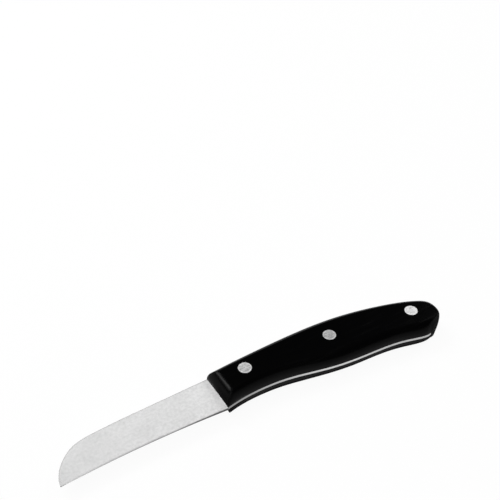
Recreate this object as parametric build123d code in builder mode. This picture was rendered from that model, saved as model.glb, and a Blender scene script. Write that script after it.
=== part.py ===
"""Paring knife with a straight edge and a riveted two-scale handle.

The blade and the tang are one piece of steel. The tang shows between the scales along
the handle and ends inside the butt, where the scales meet each other.

The knife lies on its side. +X runs from the tip to the butt, along the chord of the
cutting edge, +Y from the edge to the spine and +Z up. The origin is under the middle
rivet, on the plane that the lower scale rests on.
"""
import os
from math import asin, degrees, radians, sin, tan

from build123d import *

os.makedirs("parts", exist_ok=True)

# Driving dimensions, in millimetres
blade_length = 73.0
blade_width = 18.6
handle_length = 110.0
handle_width = 23.7
handle_thickness = 12.6
steel_thickness = 1.2

# Blade
edge_hollow = 1.25
heel_edge_thickness = 0.55
mid_edge_thickness = 0.36
tip_edge_thickness = 0.20
heel_blend_length = 14.0
cutting_edge_thickness = 0.05
tip_radius = 0.3
cutting_angle = 13.0

# Rivets
head_diameter = 6.0
head_thickness = 1.6
sleeve_diameter = 4.0
pin_diameter = 2.6
rivet_clearance = 0.02

# End of the tang, inside the butt
tang_end_radius = 13.8
tang_end_shares = (0.831, -0.682)

# Clearance round whatever passes through or ends inside the scales and the tang
tang_clearance = 0.1

# Handle form
corner_radius = 0.15
crease_share = 0.94
spine_facet_square_share = 1.7
heel_facet_square_share = 2.2
level_count = 7

# One overrun for every cut
overrun = 2.0

# Line of the spine and nose: shares of blade_length from the heel towards the tip,
# and of blade_width from the chord of the edge
spine_shares = [
    (0.0, 1.0),
    (0.14, 0.985),
    (0.35, 0.965),
    (0.55, 0.946),
    (0.70, 0.916),
    (0.792, 0.880),
    (0.843, 0.828),
    (0.886, 0.743),
    (0.927, 0.607),
    (0.957, 0.470),
    (0.986, 0.265),
    (1.0, 0.0),
]

# Outline of a scale where it meets the tang, round from the front corner at the spine,
# by the butt, to the front corner at the heel: shares of handle_length from the front
# of the handle and of handle_width from the level of the spine, then how square the
# side is in section there, where 1 is a flat bevel and 2 an ellipse
tang_line_shares = [
    (-0.004, 0.008, 2.0),
    (0.102, 0.020, 2.8),
    (0.238, 0.049, 3.0),
    (0.402, 0.065, 3.0),
    (0.566, 0.031, 3.0),
    (0.724, -0.086, 3.0),
    (0.865, -0.261, 3.0),
    (0.954, -0.430, 3.0),
    (0.994, -0.580, 2.6),
    (1.0, -0.750, 2.2),
    (0.994, -0.905, 1.8),
    (0.951, -1.037, 1.8),
    (0.899, -1.153, 2.0),
    (0.860, -1.137, 2.7),
    (0.791, -1.054, 3.2),
    (0.673, -0.985, 2.8),
    (0.551, -0.953, 3.0),
    (0.442, -0.885, 3.3),
    (0.346, -0.786, 3.5),
    (0.251, -0.705, 3.1),
    (0.156, -0.680, 2.7),
    (0.063, -0.705, 2.6),
    (0.001, -0.757, 2.8),
]

# Outline of the flat side of a scale, point for point in the same shares
face_line_shares = [
    (0.025, -0.117),
    (0.118, -0.093),
    (0.244, -0.073),
    (0.402, -0.061),
    (0.560, -0.090),
    (0.713, -0.196),
    (0.838, -0.341),
    (0.923, -0.490),
    (0.967, -0.632),
    (0.979, -0.795),
    (0.974, -0.930),
    (0.947, -1.033),
    (0.912, -1.017),
    (0.867, -0.967),
    (0.785, -0.873),
    (0.687, -0.804),
    (0.565, -0.763),
    (0.456, -0.680),
    (0.352, -0.631),
    (0.254, -0.578),
    (0.167, -0.556),
    (0.090, -0.567),
    (0.032, -0.597),
]

# Rivet centres, in the same shares
front_rivet_shares = (0.130, -0.293)
middle_rivet_shares = (0.510, -0.387)
rear_rivet_shares = (0.881, -0.650)


def handle_point(shares):
    """Point of the handle from its shares, with the heel's foot as zero."""
    along, across = shares
    return (along * handle_length, blade_width + across * handle_width)


# The middle rivet is over the origin, so the heel's foot lies away from it
middle_x, middle_y = handle_point(middle_rivet_shares)
heel_plane = Plane(origin=(-middle_x, -middle_y, 0))
middle_height = handle_thickness / 2
tang_top = middle_height + steel_thickness / 2
scale_height = handle_thickness - tang_top
rivet_centres = {
    "front": handle_point(front_rivet_shares),
    "middle": handle_point(middle_rivet_shares),
    "rear": handle_point(rear_rivet_shares),
}


# Ground wedge that the blade is cut from. Its flat sides keep one angle, so it grows
# thinner towards the tip and thicker again where the grind runs out at the heel
grind_thinning = steel_thickness - mid_edge_thickness


def wedge_section(distance, edge_thickness):
    """Section across the wedge at a distance in front of the heel."""
    spine_thickness = edge_thickness + grind_thinning
    section_plane = Plane(
        origin=(-middle_x - distance, -middle_y, middle_height),
        x_dir=(0, 1, 0),
        z_dir=(1, 0, 0),
    )
    with BuildSketch(section_plane) as section:
        with BuildLine():
            Polyline(
                (-overrun, 0),
                (-overrun, edge_thickness / 2),
                (0, edge_thickness / 2),
                (blade_width, spine_thickness / 2),
                (blade_width, 0),
                close=True,
            )
        make_face()
        mirror(about=Plane.XZ)
    return section.sketch


with BuildPart() as ground_wedge:
    add(wedge_section(0, heel_edge_thickness))
    add(wedge_section(heel_blend_length, mid_edge_thickness))
    add(wedge_section(blade_length + overrun, tip_edge_thickness))
    loft(ruled=True)

# Cutting bevel: a sharper wedge turned along the arc of the hollow edge
edge_radius = (blade_length**2 / 4 + edge_hollow**2) / (2 * edge_hollow)
edge_swing = degrees(asin((blade_length / 2 + overrun) / edge_radius))
bevel_depth = blade_width + overrun
bevel_half = cutting_edge_thickness / 2 + bevel_depth * tan(radians(cutting_angle))
edge_centre = (-middle_x - blade_length / 2, edge_hollow - edge_radius - middle_y, middle_height)
bevel_middle = Plane(origin=edge_centre, x_dir=(0, 1, 0), z_dir=(1, 0, 0))
bevel_start = bevel_middle.rotated((0, 0, -edge_swing))
with BuildPart() as cutting_wedge:
    with BuildSketch(bevel_start):
        with BuildLine():
            Polyline(
                (edge_radius, 0),
                (edge_radius, cutting_edge_thickness / 2),
                (edge_radius + bevel_depth, bevel_half),
                (edge_radius + bevel_depth, 0),
                close=True,
            )
        make_face()
        mirror(about=Plane.XZ)
    revolve(axis=Axis(edge_centre, (0, 0, 1)), revolution_arc=2 * edge_swing)


def side_inset(rise_share, square):
    """How far the side has come in, 0 to 1, at a share of the scale's height."""
    here = 1 - (1 - (rise_share * crease_share) ** square) ** (1 / square)
    crease = 1 - (1 - crease_share**square) ** (1 / square)
    return here / crease


def handle_outline(height, rise_share):
    """Face of the handle between the tang line, share 0, and the flat side, share 1."""
    points = []
    front_squares = {
        tang_line_shares[0]: spine_facet_square_share,
        tang_line_shares[-1]: heel_facet_square_share,
    }
    for tang_shares, face_shares in zip(tang_line_shares, face_line_shares):
        square = tang_shares[2]
        tang_x, tang_y = handle_point(tang_shares[:2])
        face_x, face_y = handle_point(face_shares)
        along_square = front_squares.get(tang_shares, square)
        along = tang_x + side_inset(rise_share, along_square) * (face_x - tang_x)
        across = tang_y + side_inset(rise_share, square) * (face_y - tang_y)
        points.append((along, across))
    with BuildSketch(heel_plane.offset(height)) as outline:
        with BuildLine():
            Spline(*points)
            Line(points[-1], points[0])
        make_face()
        fillet(outline.vertices(), corner_radius)
    return outline.sketch


def tang_reach(clearance):
    """All that lies in front of the tang's rounded end, with a clearance past it."""
    with BuildSketch(heel_plane.offset(middle_height)) as reach:
        with Locations(handle_point(tang_end_shares)):
            Circle(tang_end_radius + clearance)
            Rectangle(2 * handle_length, 2 * handle_length, align=(Align.MAX, Align.CENTER))
    return reach.sketch


# Blade and tang, one piece of steel
spine_points = [(-along * blade_length, across * blade_width) for along, across in spine_shares]
with BuildPart() as tang:
    add(handle_outline(middle_height, 0))
    extrude(amount=steel_thickness / 2, both=True)
    add(tang_reach(0))
    extrude(amount=steel_thickness, both=True, mode=Mode.INTERSECT)
with BuildPart() as blade:
    with BuildSketch(heel_plane.offset(middle_height)) as profile:
        with BuildLine():
            Spline(*spine_points)
            ThreePointArc((-blade_length, 0), (-blade_length / 2, edge_hollow), (0, 0))
            Line((0, 0), (0, blade_width))
        make_face()
        fillet(profile.vertices().sort_by(Axis.X)[0], tip_radius)
    extrude(amount=steel_thickness / 2, both=True)
    add(ground_wedge.part, mode=Mode.INTERSECT)
    add(cutting_wedge.part, mode=Mode.INTERSECT)
    add(tang.part)
    with BuildSketch(heel_plane.offset(middle_height)):
        with Locations(*rivet_centres.values()):
            Circle(sleeve_diameter / 2 + tang_clearance)
    extrude(amount=steel_thickness, both=True, mode=Mode.SUBTRACT)
blade.part.label = "blade"
export_step(blade.part, "parts/blade.step")

# Upper scale: its sides round over from the tang line to the crease of the flat side.
# Past the end of the tang it fills its half of the gap between the scales
with BuildPart() as upper_scale:
    add(handle_outline(middle_height, 0))
    extrude(amount=steel_thickness / 2)
    add(tang_reach(tang_clearance))
    extrude(amount=steel_thickness / 2, mode=Mode.SUBTRACT)
    for level in range(level_count):
        rise_share = sin(radians(90 * level / (level_count - 1)))
        add(handle_outline(tang_top + scale_height * rise_share, rise_share))
    loft()
    with BuildSketch(heel_plane.offset(tang_top)):
        with Locations(*rivet_centres.values()):
            Circle(sleeve_diameter / 2 + rivet_clearance)
    extrude(amount=scale_height, mode=Mode.SUBTRACT)
    with BuildSketch(heel_plane.offset(handle_thickness)):
        with Locations(*rivet_centres.values()):
            Circle(head_diameter / 2 + rivet_clearance)
    extrude(amount=-head_thickness, mode=Mode.SUBTRACT)
upper_scale.part.label = "upper_scale"
export_step(upper_scale.part, "parts/upper_scale.step")

# Lower scale: the upper one's mirror image
with BuildPart() as lower_scale:
    mirror(upper_scale.part, about=Plane.XY.offset(middle_height))
lower_scale.part.label = "lower_scale"
export_step(lower_scale.part, "parts/lower_scale.step")

# Three two-part rivets: a sleeve with its head below and a pin with its head above
sleeve_length = handle_thickness - head_thickness
for name, centre in rivet_centres.items():
    with BuildPart() as sleeve:
        with BuildSketch(heel_plane):
            with Locations(centre):
                Circle(head_diameter / 2)
        extrude(amount=head_thickness)
        with BuildSketch(heel_plane):
            with Locations(centre):
                Circle(sleeve_diameter / 2)
        extrude(amount=sleeve_length)
        with BuildSketch(heel_plane.offset(head_thickness)):
            with Locations(centre):
                Circle(pin_diameter / 2 + rivet_clearance)
        extrude(amount=sleeve_length, mode=Mode.SUBTRACT)
    sleeve.part.label = name + "_rivet_sleeve"
    export_step(sleeve.part, "parts/" + name + "_rivet_sleeve.step")

    with BuildPart() as pin:
        with BuildSketch(heel_plane.offset(sleeve_length)):
            with Locations(centre):
                Circle(head_diameter / 2)
        extrude(amount=head_thickness)
        with BuildSketch(heel_plane.offset(head_thickness)):
            with Locations(centre):
                Circle(pin_diameter / 2)
        extrude(amount=sleeve_length)
    pin.part.label = name + "_rivet_pin"
    export_step(pin.part, "parts/" + name + "_rivet_pin.step")
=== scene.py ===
from math import radians

import bpy
from mathutils import Matrix, Vector


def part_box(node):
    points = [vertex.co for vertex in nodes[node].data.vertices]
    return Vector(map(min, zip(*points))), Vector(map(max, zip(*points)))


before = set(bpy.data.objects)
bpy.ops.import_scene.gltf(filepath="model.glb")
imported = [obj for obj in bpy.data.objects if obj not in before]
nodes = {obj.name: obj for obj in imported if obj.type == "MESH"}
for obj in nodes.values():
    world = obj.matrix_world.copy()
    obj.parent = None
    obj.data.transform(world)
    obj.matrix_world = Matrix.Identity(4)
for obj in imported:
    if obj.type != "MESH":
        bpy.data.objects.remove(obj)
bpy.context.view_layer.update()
scene = bpy.context.scene


# Small helpers for node trees
class Shader:
    """One material's node tree, with a few short calls to fill it."""

    def __init__(self, name):
        self.material = bpy.data.materials.new(name)
        self.material.use_nodes = True
        self.tree = self.material.node_tree
        self.tree.nodes.clear()
        self.output = self.tree.nodes.new("ShaderNodeOutputMaterial")
        coordinates = self.tree.nodes.new("ShaderNodeTexCoord")
        self.place = coordinates.outputs["Object"]
        self.facing = coordinates.outputs["Normal"]

    def node(self, kind, **settings):
        made = self.tree.nodes.new(kind)
        for key, value in settings.items():
            setattr(made, key, value)
        return made

    def put(self, socket, value):
        if isinstance(value, bpy.types.NodeSocket):
            self.tree.links.new(value, socket)
        else:
            socket.default_value = value

    def split(self, vector):
        made = self.node("ShaderNodeSeparateXYZ")
        self.put(made.inputs[0], vector)
        return made.outputs

    def math(self, operation, *values, clamp=False):
        made = self.node("ShaderNodeMath", operation=operation, use_clamp=clamp)
        for socket, value in zip(made.inputs, values):
            self.put(socket, value)
        return made.outputs[0]

    def times_plus(self, value, factor, term):
        return self.math("MULTIPLY_ADD", value, factor, term)

    def vector_math(self, operation, *values):
        made = self.node("ShaderNodeVectorMath", operation=operation)
        for socket, value in zip(made.inputs, values):
            self.put(socket, value)
        return made.outputs

    def noise(self, scale, detail, roughness=0.5, stretch=(1, 1, 1), turn=0.0):
        mapping = self.node("ShaderNodeMapping")
        self.put(mapping.inputs["Vector"], self.place)
        mapping.inputs["Rotation"].default_value = (0, 0, turn)
        mapping.inputs["Scale"].default_value = stretch
        made = self.node("ShaderNodeTexNoise")
        self.put(made.inputs["Vector"], mapping.outputs[0])
        made.inputs["Scale"].default_value = scale
        made.inputs["Detail"].default_value = detail
        made.inputs["Roughness"].default_value = roughness
        return made.outputs["Fac"]

    def mix(self, factor, first, second):
        made = self.node("ShaderNodeMix", data_type="RGBA")
        self.put(made.inputs["Factor"], factor)
        self.put(made.inputs[6], first)
        self.put(made.inputs[7], second)
        return made.outputs[2]

    def blend(self, factor, first, second):
        made = self.node("ShaderNodeMix", data_type="FLOAT")
        self.put(made.inputs["Factor"], factor)
        self.put(made.inputs[2], first)
        self.put(made.inputs[3], second)
        return made.outputs[0]

    def span(self, value, start, end):
        """0 at the start and before it, 1 at the end and beyond it."""
        made = self.node("ShaderNodeMapRange")
        self.put(made.inputs["Value"], value)
        made.inputs["From Min"].default_value = start
        made.inputs["From Max"].default_value = end
        return made.outputs["Result"]

    def grey(self, tone):
        made = self.node("ShaderNodeCombineColor")
        for socket in made.inputs:
            self.put(socket, tone)
        return made.outputs[0]

    def bump(self, height, distance, strength, normal=None):
        made = self.node("ShaderNodeBump")
        made.inputs["Strength"].default_value = strength
        made.inputs["Distance"].default_value = distance
        self.put(made.inputs["Height"], height)
        if normal is not None:
            self.put(made.inputs["Normal"], normal)
        return made.outputs["Normal"]

    def surface(self, **values):
        made = self.node("ShaderNodeBsdfPrincipled")
        for key, value in values.items():
            self.put(made.inputs[key.replace("_", " ")], value)
        self.tree.links.new(made.outputs[0], self.output.inputs["Surface"])


def dress(name, material):
    """Give a CAD node a material."""
    mesh = nodes[name].data
    mesh.materials.clear()
    mesh.materials.append(material)


# Satin steel, ground along the blade
def satin_steel():
    # Stretches of the knife on the X axis, from start to end in metres
    heel_to_tip = (-0.060, -0.128)
    last_of_tip = (-0.1265, -0.129)
    last_of_heel = (-0.080, -0.060)
    first_of_strip = (-0.052, -0.015)
    last_of_strip = (0.004, 0.026)
    # The blade's middle plane, and how far from it the bevel's dark line fades
    middle_height = 0.0063
    dark_line = (0.00006, 0.00016)
    wider_at_heel = 0.00008
    # How level a face is, 1 flat and 0 upright, and where its kind changes
    flat_from, sloping_from, upright_below = 0.99, 0.9, 0.5
    rim_radius = 0.0009

    s = Shader("satin_steel")
    level = s.math("ABSOLUTE", s.split(s.facing)["Z"])
    upright = s.math("LESS_THAN", level, upright_below)
    not_flat = s.math("LESS_THAN", level, flat_from)
    bevel = s.math("MULTIPLY", not_flat, s.math("GREATER_THAN", level, sloping_from))
    along = s.split(s.place)
    to_tip = s.span(along["X"], *heel_to_tip)

    grain = s.noise(1400, 4, 0.65, stretch=(0.10, 1, 1))
    mottle = s.noise(750, 3, 0.6)
    cloud = s.noise(60, 2)
    tone = s.times_plus(grain, 0.10, 0.425)
    tone = s.times_plus(mottle, 0.38, tone)
    tone = s.times_plus(cloud, 0.22, tone)
    # Painted shade: the blade darkens from heel to tip, for how the lamps fall along
    # it
    tone = s.math("MULTIPLY", tone, s.times_plus(to_tip, -0.335, 0.86))

    # The rim along the spine and nose is rounded, and painted shade makes it a little
    # darker where its bevelled normal turns to +Y
    rounded = s.node("ShaderNodeBevel", samples=6)
    rounded.inputs["Radius"].default_value = rim_radius
    rim = s.span(s.split(rounded.outputs[0])["Y"], 0.05, 0.45)
    tone = s.math("MULTIPLY", tone, s.times_plus(rim, -0.30, 1.0))

    # The cutting bevel is darkest at its lower edge, near the heel and at the very tip
    depth = s.math("ABSOLUTE", s.math("SUBTRACT", along["Z"], middle_height))
    near_heel = s.span(along["X"], *last_of_heel)
    depth = s.times_plus(near_heel, -wider_at_heel, depth)
    keen = s.times_plus(to_tip, 0.46, s.times_plus(grain, 0.15, 0.01))
    keen = s.times_plus(s.span(along["X"], *last_of_tip), -0.26, keen)
    edge_tone = s.blend(s.span(depth, *dark_line), keen, tone)

    # The strip of tang has its own tone, with painted shade that makes it dark at the
    # front and a little darker again at the butt
    strip_tone_and_shade = s.times_plus(s.span(along["X"], *first_of_strip), 0.32, 0.24)
    strip_tone_and_shade = s.times_plus(grain, 0.24, strip_tone_and_shade)
    strip_tone_and_shade = s.times_plus(s.span(along["X"], *last_of_strip), -0.13, strip_tone_and_shade)

    tone = s.blend(bevel, tone, edge_tone)
    tone = s.blend(upright, tone, strip_tone_and_shade)
    s.surface(
        Base_Color=s.grey(tone), Metallic=1.0,
        Roughness=s.times_plus(mottle, 0.12, 0.48),
        Normal=s.bump(grain, 0.00002, 0.35),
    )
    return s.material


# Polished black plastic
def black_plastic():
    # Stretches of the handle on the X and Y axes, from start to end in metres
    ridge = (-0.044, -0.049)
    down_the_facet = (0.006, -0.004)
    # Directions that faces turn to, as parts of their normals
    side_level = (0.9, 0.5)
    to_the_butt = (0.1, 0.45)
    to_the_front = (-0.70, -0.95)
    downward = (-0.05, -0.30)
    crease_radius, ridge_radius = 0.0003, 0.0024

    s = Shader("black_plastic")
    wave = s.noise(60, 2)
    fine = s.noise(2500, 2)
    scratch = s.noise(900, 4, 0.6, stretch=(0.06, 1, 1), turn=0.12)
    facing = s.split(s.facing)
    along = s.split(s.place)
    rough = s.times_plus(fine, 0.08, 0.13)
    rough = s.times_plus(s.span(scratch, 0.55, 0.70), 0.10, rough)
    # The sides are duller than the flat side, and the butt is duller still
    side = s.span(s.math("ABSOLUTE", facing["Z"]), *side_level)
    butt = s.math("MULTIPLY", side, s.span(facing["X"], *to_the_butt))
    rough = s.times_plus(side, 0.26, rough)
    rough = s.times_plus(butt, 0.62, rough)
    # The facet at the front grows duller towards the heel
    facet = s.span(facing["X"], *to_the_front)
    low_facet = s.math("MULTIPLY", facet, s.span(along["Y"], *down_the_facet))
    rough = s.times_plus(low_facet, 0.45, rough)
    # The underside is duller, so that it shows little of the pale floor
    rough = s.times_plus(s.span(facing["Z"], *downward), 0.60, rough)

    # The ridge across the front is rounder than the other creases
    front = s.span(along["X"], *ridge)
    soft = s.node("ShaderNodeBevel", samples=8)
    radius = s.times_plus(front, ridge_radius - crease_radius, crease_radius)
    s.put(soft.inputs["Radius"], radius)
    s.surface(
        Base_Color=(0.0008, 0.0008, 0.0009, 1), Roughness=rough,
        Specular_IOR_Level=0.06,
        Normal=s.bump(wave, 0.0002, 0.15, soft.outputs[0]),
    )
    return s.material


# Rivet metal: mottled centre, a brighter worn rim and a ring of painted shade round
# the head
def rivet_metal(name, lit_tone_level):
    # Distances from the rivet's centre, from start to end in metres
    worn_rim = (0.0023, 0.0028)
    gap_shadow_span = (0.00280, 0.00298)
    # What the mottle and the scratches add to the tone on average
    marks_mean = 0.68

    s = Shader(name + "_metal")
    low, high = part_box(name + "_rivet_pin")
    centre = (low + high) / 2
    away = s.vector_math("SUBTRACT", s.place, centre)["Vector"]
    level = s.vector_math("MULTIPLY", away, (1, 1, 0))["Vector"]
    radius = s.vector_math("LENGTH", level)["Value"]
    mottle = s.noise(900, 3)
    scratch = s.noise(1500, 3, 0.6, stretch=(0.15, 1, 1), turn=0.6)
    tone = s.times_plus(mottle, 0.85, lit_tone_level - marks_mean)
    tone = s.times_plus(scratch, 0.50, tone)
    tone = s.times_plus(s.span(radius, *worn_rim), 0.28, tone)
    # Painted shade: a dark ring at the head's outer edge, for the shade in the gap
    # where it meets the plastic
    gap_shade = s.span(radius, *gap_shadow_span)
    tone = s.math("MULTIPLY", tone, s.times_plus(gap_shade, -0.75, 1.0))
    s.surface(
        Base_Color=s.grey(tone), Metallic=1.0, Roughness=0.42,
        Normal=s.bump(scratch, 0.00002, 0.3),
    )
    return s.material


steel = satin_steel()
plastic = black_plastic()
# Painted light: the rivets are one metal, given different tones for how the light
# falls on each, the rear one lightest
rivets = {
    "front": rivet_metal("front", 0.70),
    "middle": rivet_metal("middle", 0.65),
    "rear": rivet_metal("rear", 0.93),
}
for name in nodes:
    if name == "blade":
        dress(name, steel)
    elif name.endswith("scale"):
        dress(name, plastic)
    else:
        dress(name, rivets[name.split("_")[0]])


# Pale floor: glows where it is seen or mirrored, and is a plain surface for other rays
def floor_material():
    glow_share = 0.94
    darker, lighter = (0.93, 0.93, 0.93, 1), (0.96, 0.96, 0.96, 1)

    s = Shader("pale_floor")
    rays = s.node("ShaderNodeLightPath").outputs
    seen = s.math("ADD", rays["Is Camera Ray"], rays["Is Glossy Ray"])
    seen = s.math("ADD", seen, rays["Is Transmission Ray"], clamp=True)
    diffuse = s.node("ShaderNodeBsdfDiffuse")
    s.put(diffuse.inputs["Color"], s.mix(s.noise(40, 3), darker, lighter))
    glow = s.node("ShaderNodeEmission")
    glow.inputs["Strength"].default_value = 1.0
    both = s.node("ShaderNodeMixShader")
    s.put(both.inputs[0], s.math("MULTIPLY", seen, glow_share))
    s.put(both.inputs[1], diffuse.outputs[0])
    s.put(both.inputs[2], glow.outputs[0])
    s.tree.links.new(both.outputs[0], s.output.inputs["Surface"])
    return s.material


def stage_piece(name, points, faces, material):
    mesh = bpy.data.meshes.new(name)
    mesh.from_pydata(points, [], faces)
    made = bpy.data.objects.new(name, mesh)
    scene.collection.objects.link(made)
    mesh.materials.append(material)


# The backdrop stands round the floor, for views from low down
pale = floor_material()
reach = 6.0
wall_height = 2.6
corners = [(-reach, -reach), (reach, -reach), (reach, reach), (-reach, reach)]
feet = [(x, y, 0) for x, y in corners]
tops = [(x, y, wall_height) for x, y in corners]
walls = [(i, (i + 1) % 4, (i + 1) % 4 + 4, i + 4) for i in range(4)]
stage_piece("floor", feet, [(0, 1, 2, 3)], pale)
stage_piece("backdrop", feet + tops, walls, pale)

# Dim room
room_strength = 0.06
world = bpy.data.worlds.new("room")
world.use_nodes = True
background = world.node_tree.nodes["Background"]
background.inputs["Color"].default_value = (1, 1, 1, 1)
background.inputs["Strength"].default_value = room_strength
scene.world = world

lamp_distance = 1.2


def softbox(name, azimuth, elevation, size, power):
    """Square lamp that faces the knife: azimuth 0 is in front (-Y), 90 is +X."""
    lamp = bpy.data.lights.new(name, "AREA")
    lamp.shape = "RECTANGLE"
    lamp.size = lamp.size_y = size
    lamp.energy = power
    made = bpy.data.objects.new(name, lamp)
    scene.collection.objects.link(made)
    turn = Matrix.Rotation(radians(azimuth), 4, "Z")
    tilt = Matrix.Rotation(radians(90 - elevation), 4, "X")
    made.matrix_world = turn @ tilt @ Matrix.Translation((0, 0, lamp_distance))


softbox("back_left_box", -152, 48, 0.6, 4.65)
softbox("ridge_box", -163, 53, 0.42, 3.2)
softbox("front_box", -30, 62, 0.6, 3)
softbox("right_box", 105, 38, 0.6, 4)
softbox("left_box", -90, 35, 0.6, 2)
softbox("top_box", 180, 82, 0.6, 1.5)

# Camera at the photograph's angle
camera_data = bpy.data.cameras.new("camera")
camera_data.lens = 58.83
camera_data.sensor_width = 36
camera_data.clip_start = 0.01
camera = bpy.data.objects.new("camera", camera_data)
scene.collection.objects.link(camera)
camera_place = Matrix.Translation((-0.1570, -0.1986, 0.2745))
back = Vector((-0.3855, -0.6577, 0.6472)).normalized()
right = Vector((0.8627, -0.5057, 0)).normalized()
up = back.cross(right)
camera_turn = Matrix((right, up, back)).transposed().to_4x4()
camera.matrix_world = camera_place @ camera_turn
scene.camera = camera

scene.view_settings.view_transform = "Standard"
